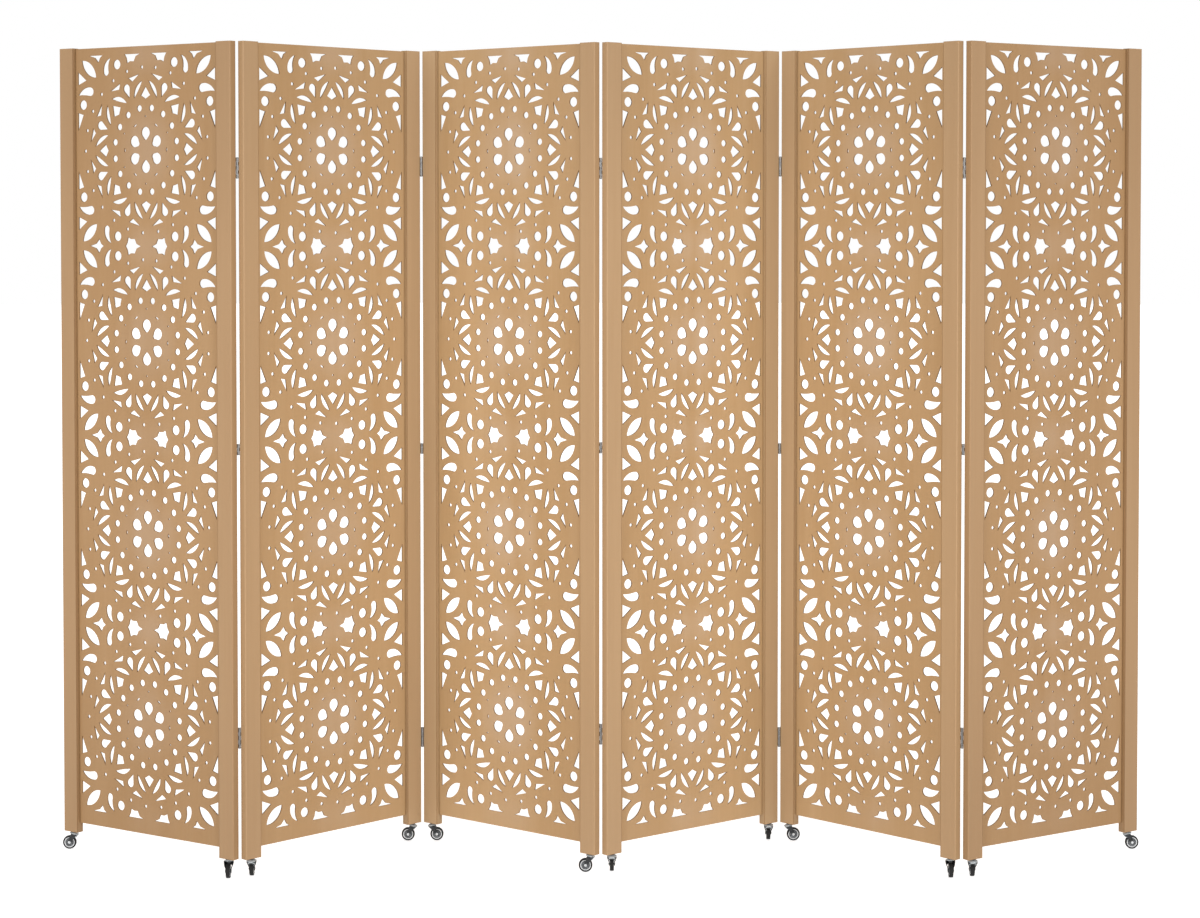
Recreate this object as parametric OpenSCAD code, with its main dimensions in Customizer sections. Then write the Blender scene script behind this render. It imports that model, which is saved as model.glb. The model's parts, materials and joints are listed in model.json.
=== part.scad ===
// Folding screen with six perforated lattice panels on swivel casters.
// Each panel is a thin board held in grooves between two stiles.
// The frame stands on the floor at z = 0, centred under the screen, with +X along it.
// The viewer stands on the -Y side. A panel's own frame has x from its left end,
// y from its front face to its back, and z up from the floor.

/* [Panels] */
// Width of a panel over its stiles
panel_w = 508; // [480:1:560]
// Thickness of a panel, which is its stiles' thickness
panel_t = 18; // [16:0.5:24]
// Length of a stile
stile_h = 1760; // [1740:1:1900]
// Width of a stile's face
stile_w = 42; // [38:0.5:45]
// Radius of a stile's long edges
stile_edge_r = 2; // [1:0.1:3.4]
// Height of a stile's foot above the floor
caster_h = 40; // [40:0.5:60]

/* [Lattice board] */
// Thickness of the board
board_t = 3; // [2:0.1:6]
// Depth that the board goes into a stile's groove
board_tenon = 8.5; // [4:0.5:10]
// Clearance on each face of the board in its groove
groove_fit = 0.15; // [0.05:0.05:0.4]
// Step from the stile's foot up to the board's lower edge
board_foot_step = 22; // [10:1:60]
// Step from the stile's top down to the board's upper edge
board_top_step = 1.5; // [0:0.5:10]

/* [Pattern] */
// Height of one square tile of the pattern
tile_h = 422; // [400:1:430]
// Number of tiles up the board
tile_count = 4; // [1:1:4]
// Height of the pattern's lower edge above the board's lower edge
pattern_foot = 32; // [8:1:40]
// Half the width of the pattern, from its middle to a side cut
pattern_half_w = 204; // [203.5:0.5:208]
// Diameter of the dots in the ring round the medallion
ring_dot_d = 14.5; // [8:0.5:18]
// Diameter of the large dots in the corners
corner_dot_d = 21.3; // [12:0.1:24]
// Diameter of the small dots in the outer ring
outer_dot_d = 7.5; // [4:0.1:10]
// Diameter of the finest dots
fine_dot_d = 4; // [2:0.1:6]

/* [Rest pose] */
// Turn of the outer two panels from the screen's line
outer_turn = 34; // [20:0.5:45]
// Turn of the second and fifth panels
second_turn = 46; // [30:0.5:50]
// Turn of the middle two panels
middle_turn = 39.5; // [25:0.5:45]

/* [Hinges] */
// Gap between two stiles when their panels stand in line
fold_gap = 2.4; // [2.2:0.1:5]
// Distance of a hinge's pin outside the panel's face
pin_proud = 2; // [1.8:0.1:4]
// Thickness of a hinge leaf
leaf_t = 1; // [0.6:0.1:1.1]
// Width of a hinge leaf on a stile's end face, as at the valley folds
end_leaf_w = 10; // [9:0.5:14]
// Width of a hinge leaf on a stile's back, as at the ridge folds
back_leaf_w = 14; // [12:0.5:20]
// Height of the upper and lower hinges
tall_hinge_h = 44; // [36:1:70]
// Height of the middle hinge
short_hinge_h = 23; // [20:1:40]
// Outer radius of the hinge's knuckles
knuckle_r = 2.7; // [2.2:0.1:2.9]
// Radius of the hinge pin
pin_r = 1.3; // [1:0.1:1.6]
// Height of the lower hinge at a ridge fold, from the stile's foot to the hinge's middle
ridge_low_z = 262; // [100:1:400]
// Height of the middle hinge at a ridge fold
ridge_mid_z = 885; // [600:1:1100]
// Height of the upper hinge at a ridge fold
ridge_high_z = 1489; // [1300:1:1700]
// Height of the lower hinge at a valley fold, from the stile's foot to the hinge's middle
valley_low_z = 196; // [100:1:400]
// Height of the middle hinge at a valley fold
valley_mid_z = 857; // [600:1:1100]
// Height of the upper hinge at a valley fold
valley_high_z = 1499; // [1300:1:1700]
// Radius of a hinge screw's shank
screw_r = 1.3; // [1:0.1:1.6]
// Length of a hinge screw
screw_l = 14; // [8:0.5:18]

/* [Casters] */
// Radius of a wheel over its tyre
wheel_r = 15; // [12:0.5:15.2]
// Width of the tyre
tyre_w = 9; // [6:0.5:10]
// Thickness of the tyre
tyre_t = 3; // [2:0.1:4]
// Distance of the axle behind the swivel's axis
trail = 9; // [7:0.5:9.5]
// Radius of the caster's hood
hood_r = 10.6; // [9:0.1:11]
// Thickness of a fork's cheek
cheek_t = 1.6; // [1:0.1:2]
// Gap between the tyre and a cheek
cheek_gap = 0.5; // [0.3:0.1:1]
// Radius of the wheel's axle
axle_r = 2; // [1.5:0.1:2.5]
// Radius of the stem in the stile
stem_r = 4; // [3:0.1:5]
// Length of the stem in the stile
stem_l = 32; // [20:1:60]
// Radius of the swivel pivot
pivot_r = 2.5; // [2:0.1:3]

/* [Hidden] */
$fn = 64;
run_fit = 0.05;                 // radial clearance of a pin or shaft that turns
seat_fit = 0.05;                // radial clearance of a screw or stem in its hole
past = 1;                       // how far a cut runs past the face that it opens
panel_count = 6;
fold_count = panel_count - 1;
last_panel = panel_count - 1;
caster_count = 2 * panel_count;

// Parts' colours
stile_colour = [0.77, 0.62, 0.47];
board_colour = [0.76, 0.60, 0.42];
hinge_colour = [0.66, 0.66, 0.67];
fork_colour = [0.45, 0.46, 0.47];
wheel_colour = [0.70, 0.71, 0.72];
tyre_colour = [0.10, 0.10, 0.11];

// Panel values
opening_w = panel_w - 2 * stile_w;
board_w = opening_w + 2 * board_tenon;
board_z = caster_h + board_foot_step;
board_h = stile_h - board_foot_step - board_top_step;
tuck = 0.05;                    // how far inside a round its straight side starts
groove_w = board_t + 2 * groove_fit;
groove_room = 0.5;              // gap from the board's edge to the bottom of its groove
groove_depth = board_tenon + groove_room;
stem_x = stile_w / 2;           // the stem stands in the middle of the stile
stem_room = 2;                  // gap from the stem's end to the bottom of its socket

// Pattern values: the shapes are drawn on a tile 422 high and grow with the real one
drawn_tile = 422;
unit = tile_h / drawn_tile;

// Hinge values
leaf_gap = 0.3;                 // end gap between two knuckles
leaf_clear = 0.35;              // gap from a leaf to the other leaf's knuckle
leaf_start = knuckle_r + leaf_clear;
screw_head_r = 2.4;
screw_rim = 0.2;                // straight edge of a screw's head
screw_edge = 4;                 // distance of the screws from a leaf's outer edge
screw_room = 0.5;               // gap from a screw's end to the bottom of its hole
pin_past = 0.1;                 // how far a pin stands out of its knuckles
pin_head_h = 0.8;
pin_head_inset = 0.4;           // from the knuckles' surface in to the pin's head
tall_screw_step = 0.6 * tall_hinge_h;
short_screw_step = 0.5 * short_hinge_h;
hinge_hs = [tall_hinge_h, short_hinge_h, tall_hinge_h];
screw_steps = [tall_screw_step, short_screw_step, tall_screw_step];
knuckle_counts = [5, 3, 5];

// Caster values
collar_h = 1.5;                 // the stem's collar under the stile
collar_r = 6.5;
thrust_gap = 0.3;               // gap above and below the fork's boss
boss_top = caster_h - collar_h - thrust_gap;
boss_gap = 0.5;                 // gap from the top of the tyre to the boss
boss_bottom = 2 * wheel_r + boss_gap;
boss_r = 6;
rivet_h = 0.8;
rivet_r = 3.2;
rivet_room = 0.4;               // radial gap round the pivot's riveted end
hood_back = 2;                  // from the swivel's axis forward to the hood's middle
hood_lean = 9;                  // angle that the hood leans forward
hood_drop = 3.2;                // from the boss's top down to the hood's own plane
crown_r = 5.4;                  // flat top of the hood
crown_z = 3.4;
lining_r = 5;                   // flat part of the hood's underside
lining_z = 1.2;
lip_w = 1.3;                    // width of the hood's lip, and how far it reaches up and down
lip_up = 0.6;
lip_down = 0.9;
wheel_clear = 0.8;              // gap from the tyre's tread to the fork
cheek_in = tyre_w / 2 + cheek_gap;
cheek_out = cheek_in + cheek_t;
cheek_half = 6;                 // half the width of a cheek under the boss
cheek_rise = 1;                 // how far a cheek goes up past the boss's underside
eye_r = 4.3;                    // round end of a cheek, about the axle
eye_tuck = 0.15;                // how far inside that round the cheek's sides end
eye_back_a = 17;                // angles about the axle at which those sides end
eye_front_a = 219;
skirt_h = 10;                   // depth of the fork's skirt under its boss
skirt_rise = 3;                 // how far the skirt goes up inside the hood
skirt_out = 2.2;                // how far the skirt's foot stands out from the cheeks
skirt_inset = 0.9;              // from the hood's edge in to the skirt's top
head_gap = 0.05;                // gap from a cheek to the axle's head
axle_head_r = 3.2;
axle_head_h = 1.1;
hub_r = wheel_r - tyre_t;
tyre_fit = 0.02;                // radial gap between the hub and the tyre
hub_boss_r = 4.2;
hub_inset = 0.1;                // from the tyre's side in to the hub's boss
web_inset = 1.9;                // from the tyre's side in to the hub's web
web_slope = 0.6;                // width of the slopes beside the web
rim_inset = 0.5;                // from the tyre's side in to the hub's rim
rim_w = 1.8;
tread_edge_r = 1;               // bevel of the tread's edges, across and along the axle
tread_edge_w = 1.3;

// Headings of the twelve casters' trails at rest, from +X towards +Y, left to right
headings = [180, 270, 90, 180, 0, 180, 90, 90, 0, 270, 90, 0];

// Turn of each panel about z
half_turns = [outer_turn, second_turn, middle_turn, middle_turn, second_turn, outer_turn];
function is_ridge(fold) = fold % 2 == 0;
function turn(p) = (p % 2 == 0 ? -1 : 1) * half_turns[p];
function along(a) = [cos(a), sin(a)];
function across(a) = [-sin(a), cos(a)];
// A ridge fold, which points at the viewer, has its pins behind the backs of its panels
function pin_y(fold) = is_ridge(fold) ? panel_t + pin_proud : -pin_proud;
// Places are worked out along the chain of panels, from the first one's corner
function chain_org(p) = p == 0 ? [0, 0] :
    chain_pin(p - 1) + fold_gap / 2 * along(turn(p)) - pin_y(p - 1) * across(turn(p));
function chain_pin(fold) = chain_org(fold)
    + (panel_w + fold_gap / 2) * along(turn(fold)) + pin_y(fold) * across(turn(fold));
function stem_at(p, side) = [side == 0 ? stem_x : panel_w - stem_x, panel_t / 2];
function chain_stem(c) = chain_org(floor(c / 2))
    + stem_at(floor(c / 2), c % 2)[0] * along(turn(floor(c / 2)))
    + stem_at(floor(c / 2), c % 2)[1] * across(turn(floor(c / 2)));
// How far the rounded corners and the wheels reach along y
corner_ys = [for (p = [0:last_panel], x = [stile_edge_r, panel_w - stile_edge_r],
        y = [stile_edge_r, panel_t - stile_edge_r])
    (chain_org(p) + x * along(turn(p)) + y * across(turn(p)))[1]];
wheel_ys = [for (c = [0:caster_count - 1])
    chain_stem(c)[1] + (trail + wheel_r) * sin(headings[c])];
low_y = min(min(corner_ys) - stile_edge_r, min(wheel_ys));
high_y = max(max(corner_ys) + stile_edge_r, max(wheel_ys));
shift = [-chain_pin(2)[0], -(low_y + high_y) / 2];
function panel_org(p) = chain_org(p) + shift;
function fold_pin(fold) = chain_pin(fold) + shift;
function stem_org(c) = chain_stem(c) + shift;

// ---- Pattern shapes, flat, in a tile's own frame ----

// A leaf between two arcs on a chord along x, with a rise above it and one below it
module arc_leaf(chord, rise, fall) {
    up_r = (chord * chord / 4 + rise * rise) / (2 * rise);
    down_r = (chord * chord / 4 + fall * fall) / (2 * fall);
    intersection() {
        translate([0, rise - up_r]) circle(up_r, $fn = 180);
        translate([0, down_r - fall]) circle(down_r, $fn = 180);
    }
}

// A round head at the origin that narrows to a smaller round end below it
module egg(head_r, end_r, reach) {
    lean = asin((head_r - end_r) / reach);
    side = [cos(lean), -sin(lean)];
    head = (head_r - tuck) * side;
    end = (end_r - tuck) * side - [0, reach];
    circle(head_r);
    translate([0, -reach]) circle(end_r);
    polygon([head, [-head[0], head[1]], [-end[0], end[1]], end]);
}

// A comma with a round head at the origin and a curved tail that ends at tip
module comma_drop(head_r, tip) {
    span = tip[0] * tip[0] + tip[1] * tip[1] - head_r * head_r;
    back = span / (2 * (head_r + tip[0]));
    hollow = span / (2 * (tip[0] - head_r));
    circle(head_r);
    difference() {
        intersection() {
            translate([back, 0]) circle(back + head_r - tuck, $fn = 120);
            translate([-2 * head_r, 0]) square([tip[0] + 2 * head_r, tip[1]]);
        }
        translate([hollow, 0]) circle(hollow - head_r + tuck, $fn = 180);
    }
}

module at_angle(a, r) {
    rotate(a - 90) translate([0, r]) children();
}

// Six petals and the fine cuts round them
module medallion_heart() {
    for (k = [0:5]) {
        at_angle(90 + 60 * k, 38 * unit) egg(12.6 * unit, 6 * unit, 10 * unit);
        at_angle(30 + 60 * k, 74 * unit) circle(d = fine_dot_d);
        at_angle(60 * k, 62 * unit) arc_leaf(11 * unit, fine_dot_d / 2, fine_dot_d / 2);
    }
}

// One flower of the outer ring, on the tile's +y side
module outer_flower() {
    polygon(unit * [[0, 139.5], [14.3, 119.5], [0, 111.5], [-14.3, 119.5]]);
    for (side = [0, 1]) mirror([side, 0]) {
        translate(unit * [21.4, 132.2]) rotate(-57.5) arc_leaf(46 * unit, 9 * unit, 1.4 * unit);
        polygon(unit * [[17.8, 166.8], [51.2, 158], [39.2, 150]]);
    }
}

module outer_ring() {
    for (k = [0:15]) at_angle(11.25 + 22.5 * k, 93 * unit) circle(d = ring_dot_d);
    for (k = [0:7]) {
        rotate(45 * k) outer_flower();
        at_angle(22.5 + 45 * k, 146.5 * unit) egg(9.5 * unit, unit, 21 * unit);
    }
    // twenty-five small dots, evenly stepped but for one closer pair
    for (k = [-6:18]) at_angle(180 + 14.475 * k, 181.8 * unit) circle(d = outer_dot_d);
}

// One corner of a tile, in the +x +y quarter
module tile_corner() {
    translate(unit * [85, 189.3]) circle(d = corner_dot_d);
    translate(unit * [188, 102.5]) circle(d = corner_dot_d);
    translate(unit * [118, 173.5]) rotate(-12) mirror([1, 0]) comma_drop(8 * unit, unit * [19.8, 28]);
    translate(unit * [166, 131.5]) rotate(-78) comma_drop(9.5 * unit, unit * [15, 34.6]);
    translate(unit * [170, 181.8]) rotate(41) arc_leaf(58 * unit, 11.8 * unit, 11.8 * unit);
    side = pattern_half_w;
    polygon([[side, 176 * unit], unit * [178.5, 156.8], [side, 146.5 * unit]]);
    polygon([[side, 85 * unit], unit * [187.5, 80.3], [side - 0.8 * unit, 45 * unit], [side, 45 * unit]]);
}

module tile() {
    medallion_heart();
    outer_ring();
    for (right = [0, 1], low = [0, 1]) mirror([right, 0]) mirror([0, low]) tile_corner();
}

// Lower halves of the two shapes that stand on the line between two tiles
star_half = unit * [[-23.5, 0], [-11.5, -5], [-6, -16], [5, -15.5], [14.5, -20], [17.5, -8], [22.5, 0]];
diamond_half = unit * [[-16.5, 0], [-9, -5.2], [-3.5, -16.5], [7, -5], [24.5, 0]];
function flipped(half) = [for (i = [len(half) - 2:-1:1]) [half[i][0], -half[i][1]]];
module whole_shape(half) { polygon(concat(half, flipped(half))); }

// The shapes on a line between tiles: whole, or the lower or upper half at the pattern's ends
module seam_shapes(part) {
    for (right = [0, 1]) mirror([right, 0]) {
        translate([40 * unit, 0]) seam_shape(star_half, part);
        translate([145 * unit, 0]) seam_shape(diamond_half, part);
    }
}

module seam_shape(half, part) {
    if (part == "whole") whole_shape(half);
    if (part == "lower") polygon(half);
    if (part == "upper") mirror([0, 1]) polygon(half);
}

module pattern() {
    for (k = [0:tile_count - 1]) translate([0, (k + 0.5) * tile_h]) tile();
    if (tile_count > 1) for (k = [1:tile_count - 1]) translate([0, k * tile_h]) seam_shapes("whole");
    seam_shapes("upper");
    translate([0, tile_count * tile_h]) seam_shapes("lower");
}

// ---- Pieces of a panel ----

// The board of panel p; the boards of even panels are turned back to front
module lattice_board(p) {
    color(board_colour) in_panel(p) translate([panel_w / 2, panel_t / 2, board_z])
        rotate([0, 0, p % 2 == 0 ? 0 : 180]) translate([0, board_t / 2, 0]) rotate([90, 0, 0])
        linear_extrude(board_t) difference() {
            translate([-board_w / 2, 0]) square([board_w, board_h]);
            translate([0, pattern_foot]) pattern();
        }
}

// A stile standing at x = 0 with its outer end face there; its groove opens towards +x
module stile(fold) {
    difference() {
        translate([0, 0, caster_h]) linear_extrude(stile_h) stile_section();
        translate([stile_w - groove_depth, (panel_t - groove_w) / 2, board_z])
            cube([groove_depth + past, groove_w, stile_h]);
        translate([stem_x, panel_t / 2, caster_h - past])
            cylinder(r = stem_r + seat_fit, h = past + stem_l + stem_room);
        if (fold >= 0 && fold < fold_count) hinge_holes(fold);
    }
}

module stile_section() {
    r = stile_edge_r;
    translate([r, 0]) square([stile_w - 2 * r, panel_t]);
    translate([0, r]) square([stile_w, panel_t - 2 * r]);
    for (x = [r, stile_w - r], y = [r, panel_t - r]) translate([x, y]) circle(r);
}

module left_stile(p) {
    color(stile_colour) in_panel(p) stile(p - 1);
}

module right_stile(p) {
    color(stile_colour) in_panel(p) translate([panel_w, 0, 0]) mirror([1, 0, 0]) stile(p);
}

// ---- Hinges ----

// A ridge fold's leaves lie on the backs of its stiles, and a valley fold's on their end faces
function hinge_z(fold, i) = caster_h + (is_ridge(fold)
    ? [ridge_low_z, ridge_mid_z, ridge_high_z][i] : [valley_low_z, valley_mid_z, valley_high_z][i]);
// Distances from the pin: along the leaf to its outer edge, and across it to the wood
function leaf_reach(fold) = is_ridge(fold) ? fold_gap / 2 + back_leaf_w : pin_proud + end_leaf_w;
function leaf_seat(fold) = is_ridge(fold) ? pin_proud : fold_gap / 2;

// Holes for a fold's screws, in the frame of a stile that stands at x = 0
module hinge_holes(fold) {
    at = is_ridge(fold) ? [back_leaf_w - screw_edge, panel_t] : [0, end_leaf_w - screw_edge];
    for (i = [0:2], side = [-0.5, 0.5])
        translate([at[0], at[1], hinge_z(fold, i) + side * screw_steps[i]])
            rotate(is_ridge(fold) ? [90, 0, 0] : [0, 90, 0]) translate([0, 0, -past])
                cylinder(r = screw_r + seat_fit, h = past + screw_l - leaf_t + screw_room);
}

// A screw with its head flush in the leaf, along +y from the leaf's face at y = 0
module screw_solid(fit) {
    rotate([-90, 0, 0]) rotate_extrude() polygon([
        [0, 0], [screw_head_r + fit, 0], [screw_head_r + fit, screw_rim],
        [screw_r + fit, leaf_t], [screw_r + fit, screw_l], [0, screw_l]]);
}

// The leaves on one side of a fold, in the pin's frame: z from the floor, the panel's
// stile on the +x side, and its body on the -y side of the pin.
// Even knuckles belong to one side and odd knuckles to the other.
module leaf_set(fold, first) {
    for (i = [0:2]) translate([0, 0, hinge_z(fold, i)]) {
        seat_leaf(fold) {
            hinge_leaf(fold, i, first);
            at_screws(fold, i) screw_solid(0);
        }
        if (first == 0) hinge_pin(hinge_hs[i]);
    }
}

// From a leaf's own frame, x along it away from the pin and y towards the wood, to the pin's
module seat_leaf(fold) {
    if (is_ridge(fold)) mirror([0, 1, 0]) children();
    else rotate([0, 0, -90]) children();
}

module at_screws(fold, i) {
    for (side = [-0.5, 0.5])
        translate([leaf_reach(fold) - screw_edge, leaf_seat(fold) - leaf_t, side * screw_steps[i]])
            children();
}

module hinge_leaf(fold, i, first) {
    h = hinge_hs[i];
    knuckles = knuckle_counts[i];
    knuckle_h = (h - (knuckles - 1) * leaf_gap) / knuckles;
    plate_y = leaf_seat(fold) - leaf_t;
    difference() {
        union() {
            translate([leaf_start, plate_y, -h / 2])
                cube([leaf_reach(fold) - leaf_start, leaf_t, h]);
            for (k = [first:2:knuckles - 1]) translate([0, 0, -h / 2 + k * (knuckle_h + leaf_gap)]) {
                cylinder(r = knuckle_r, h = knuckle_h);
                translate([0, plate_y, 0]) cube([2 * leaf_start, leaf_t, knuckle_h]);
            }
        }
        translate([0, 0, -h]) cylinder(r = pin_r + run_fit, h = 2 * h);
        at_screws(fold, i) screw_solid(seat_fit);
    }
}

module hinge_pin(h) {
    end = h / 2 + pin_past;
    translate([0, 0, -end]) cylinder(r = pin_r, h = 2 * end);
    for (z = [-end - pin_head_h, end])
        translate([0, 0, z]) cylinder(r = knuckle_r - pin_head_inset, h = pin_head_h);
}

// The leaves on the panel to the left of the fold, with the pins
module left_leaves(fold) {
    color(hinge_colour) in_panel(fold) translate([panel_w + fold_gap / 2, pin_y(fold), 0])
        mirror([1, 0, 0]) mirror([0, is_ridge(fold) ? 0 : 1, 0]) leaf_set(fold, 0);
}

module right_leaves(fold) {
    color(hinge_colour) in_panel(fold + 1) translate([-fold_gap / 2, pin_y(fold), 0])
        mirror([0, is_ridge(fold) ? 0 : 1, 0]) leaf_set(fold, 1);
}

// ---- Casters, each in its own frame: swivel axis on z, trail towards +x ----

module caster_stem() {
    translate([0, 0, caster_h]) cylinder(r = stem_r, h = stem_l);
    translate([0, 0, caster_h - collar_h]) cylinder(r = collar_r, h = collar_h);
    translate([0, 0, boss_bottom - thrust_gap]) cylinder(r = pivot_r, h = caster_h - boss_bottom);
    translate([0, 0, boss_bottom - thrust_gap - rivet_h]) cylinder(r = rivet_r, h = rivet_h);
}

// The swivelling fork: a hood with a drooping lip, a boss and two cheeks
module caster_fork() {
    color(fork_colour) {
        difference() {
            union() {
                hood();
                shoulder();
                for (side = [0, 1]) mirror([0, side, 0]) cheek();
            }
            wheel_space();
            cylinder(r = pivot_r + run_fit, h = caster_h);
            cylinder(r = rivet_r + rivet_room, h = boss_bottom);
            translate([0, 0, boss_top]) cylinder(r = 2 * hood_r, h = caster_h);
            axle_line() cylinder(r = axle_r + run_fit, h = 4 * cheek_out, center = true);
        }
        axle();
    }
}

module axle_line() {
    translate([trail, 0, wheel_r]) rotate([90, 0, 0]) children();
}

// A shallow cone that leans forward, so that its lip hangs lower in front
module hood() {
    translate([-hood_back, 0, boss_top - hood_drop]) rotate([0, -hood_lean, 0]) rotate_extrude()
        polygon([[0, crown_z], [crown_r, crown_z], [hood_r, lip_up], [hood_r, -lip_down],
                 [hood_r - lip_w, -lip_down], [lining_r, lining_z], [0, lining_z]]);
}

// The fork's skirt under the hood, which the cheeks come out of, and the boss in it
module shoulder() {
    translate([0, 0, boss_bottom - skirt_h])
        cylinder(r1 = cheek_out + skirt_out, r2 = hood_r - skirt_inset, h = skirt_h + skirt_rise);
    translate([0, 0, boss_bottom]) cylinder(r = boss_r, h = boss_top - boss_bottom);
}

module cheek() {
    top = boss_bottom + cheek_rise;
    eye = [trail, wheel_r];
    side_r = eye_r - eye_tuck;
    translate([0, cheek_out, 0]) rotate([90, 0, 0]) linear_extrude(cheek_t) {
        polygon([[-cheek_half, top], [cheek_half, top], eye + side_r * along(eye_back_a),
                 eye + side_r * along(eye_front_a)]);
        translate(eye) circle(eye_r);
    }
}

// What the wheel needs, with room all round it
module wheel_space() {
    axle_line() cylinder(r = wheel_r + wheel_clear, h = 2 * cheek_in, center = true);
}

module axle() {
    axle_line() {
        cylinder(r = axle_r, h = 2 * (cheek_out + head_gap), center = true);
        for (side = [0, 1]) mirror([0, 0, side]) translate([0, 0, cheek_out + head_gap])
            cylinder(r = axle_head_r, h = axle_head_h);
    }
}

// Both sides of a wheel's section, from the points on its lower side
function both_sides(low) = concat(low, [for (i = [len(low) - 1:-1:0]) [low[i][0], -low[i][1]]]);

module caster_wheel() {
    side = -tyre_w / 2;
    color(wheel_colour) axle_line() rotate_extrude() polygon(both_sides([
        [axle_r + run_fit, side + hub_inset], [hub_boss_r, side + hub_inset],
        [hub_boss_r + web_slope, side + web_inset], [hub_r - rim_w - web_slope, side + web_inset],
        [hub_r - rim_w, side + rim_inset], [hub_r, side + rim_inset]]));
    color(tyre_colour) axle_line() rotate_extrude() polygon(both_sides([
        [hub_r + tyre_fit, side], [wheel_r - tread_edge_r, side], [wheel_r, side + tread_edge_w]]));
}

// ---- Places ----

module in_panel(p) {
    translate([panel_org(p)[0], panel_org(p)[1], 0]) rotate([0, 0, turn(p)]) children();
}

module at_caster(c) {
    translate([stem_org(c)[0], stem_org(c)[1], 0]) rotate([0, 0, headings[c]]) children();
}

module caster_stems(p) {
    color(fork_colour) for (side = [0, 1]) at_caster(2 * p + side) caster_stem();
}

for (p = [0:last_panel]) {
    lattice_board(p);
    left_stile(p);
    right_stile(p);
    caster_stems(p);
}
for (f = [0:fold_count - 1]) {
    left_leaves(f);
    right_leaves(f);
}
for (c = [0:caster_count - 1]) {
    at_caster(c) caster_fork();
    at_caster(c) caster_wheel();
}
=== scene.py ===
"""Looks of the folding screen: its finishes, its casters, the light and the camera."""

import json
import logging
import math
from dataclasses import dataclass, field
from enum import Enum
from typing import Any, Callable, Sequence

import bmesh
import bpy
import numpy as np
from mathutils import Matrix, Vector


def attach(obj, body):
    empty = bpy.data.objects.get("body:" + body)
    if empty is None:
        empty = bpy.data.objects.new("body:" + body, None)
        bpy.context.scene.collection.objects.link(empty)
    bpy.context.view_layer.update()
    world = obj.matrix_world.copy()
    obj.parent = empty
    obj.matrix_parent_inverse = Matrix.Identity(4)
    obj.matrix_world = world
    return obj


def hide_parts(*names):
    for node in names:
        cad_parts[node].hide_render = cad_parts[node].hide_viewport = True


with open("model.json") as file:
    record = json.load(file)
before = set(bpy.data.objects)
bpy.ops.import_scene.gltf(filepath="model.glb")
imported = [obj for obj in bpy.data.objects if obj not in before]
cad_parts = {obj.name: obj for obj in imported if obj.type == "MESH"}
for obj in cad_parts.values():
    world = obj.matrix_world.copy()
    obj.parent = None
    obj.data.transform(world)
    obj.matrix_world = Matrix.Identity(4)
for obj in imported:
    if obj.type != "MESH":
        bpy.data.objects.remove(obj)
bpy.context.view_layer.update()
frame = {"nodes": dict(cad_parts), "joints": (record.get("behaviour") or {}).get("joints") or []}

log = logging.getLogger("screen")
MM = 0.001
TAU = 2.0 * math.pi
OWN_MM = "own_mm"  # attribute with a caster piece's points in the caster's own frame, in millimetres
Colour = tuple[float, float, float]


def linear(red: int, green: int, blue: int) -> Colour:
    """Turn a screen colour of 0 to 255 a channel into scene-linear values.

    Args:
        red: Red channel.
        green: Green channel.
        blue: Blue channel.

    Returns:
        The three linear values.
    """
    def one(channel: int) -> float:
        """Undo the screen's transfer curve for one channel."""
        c = channel / 255.0
        return c / 12.92 if c <= 0.04045 else ((c + 0.055) / 1.055) ** 2.4

    return one(red), one(green), one(blue)


STUDIO_LIGHT = 1.45  # what the studio's light makes of a pale matt face that is turned to the viewer


def shown(red: int, green: int, blue: int) -> Colour:
    """Find the surface colour that the studio's light shows as the given screen colour."""
    r, g, b = linear(red, green, blue)
    return r / STUDIO_LIGHT, g / STUDIO_LIGHT, b / STUDIO_LIGHT


# ---------------------------------------------------------------- shader maths


class Value:
    """A node socket that Python's operators work on; each operator adds a Math node."""

    def __init__(self, bench: "Bench", socket: Any) -> None:
        """Keep the socket and the material it belongs to."""
        self.bench = bench
        self.socket = socket

    def _math(self, operation: str, *terms: Any, clamp: bool = False) -> "Value":
        """Add one Math node.

        Args:
            operation: The node's operation.
            terms: Its inputs in order, numbers or values.
            clamp: Whether the result is held between 0 and 1.

        Returns:
            Its output.
        """
        return self.bench.node(
            "ShaderNodeMath",
            {"operation": operation, "use_clamp": clamp},
            dict(enumerate(terms)),
        )

    def __add__(self, other: Any) -> "Value":
        """Sum."""
        return self._math("ADD", self, other)

    def __radd__(self, other: Any) -> "Value":
        """Sum, with the number first."""
        return self._math("ADD", other, self)

    def __sub__(self, other: Any) -> "Value":
        """Difference."""
        return self._math("SUBTRACT", self, other)

    def __rsub__(self, other: Any) -> "Value":
        """Difference from a number."""
        return self._math("SUBTRACT", other, self)

    def __mul__(self, other: Any) -> "Value":
        """Product."""
        return self._math("MULTIPLY", self, other)

    def __rmul__(self, other: Any) -> "Value":
        """Product, with the number first."""
        return self._math("MULTIPLY", other, self)

    def __truediv__(self, other: Any) -> "Value":
        """Quotient."""
        return self._math("DIVIDE", self, other)

    def __pow__(self, power: float) -> "Value":
        """Power."""
        return self._math("POWER", self, power)

    def __abs__(self) -> "Value":
        """Absolute value."""
        return self._math("ABSOLUTE", self)

    def fraction(self) -> "Value":
        """What is left above the whole number."""
        return self._math("FRACT", self)

    def clamped(self) -> "Value":
        """Hold the value between 0 and 1."""
        return self._math("ADD", self, 0.0, clamp=True)

    def ramp(self, low: float, high: float) -> "Value":
        """Go smoothly from 0 at low to 1 at high.

        Args:
            low: Value that gives 0.
            high: Value that gives 1; it may lie below low.

        Returns:
            The smoothed share.
        """
        return self.bench.node(
            "ShaderNodeMapRange",
            {"interpolation_type": "SMOOTHSTEP"},
            {0: self, 1: low, 2: high, 3: 0.0, 4: 1.0},
        )


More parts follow.
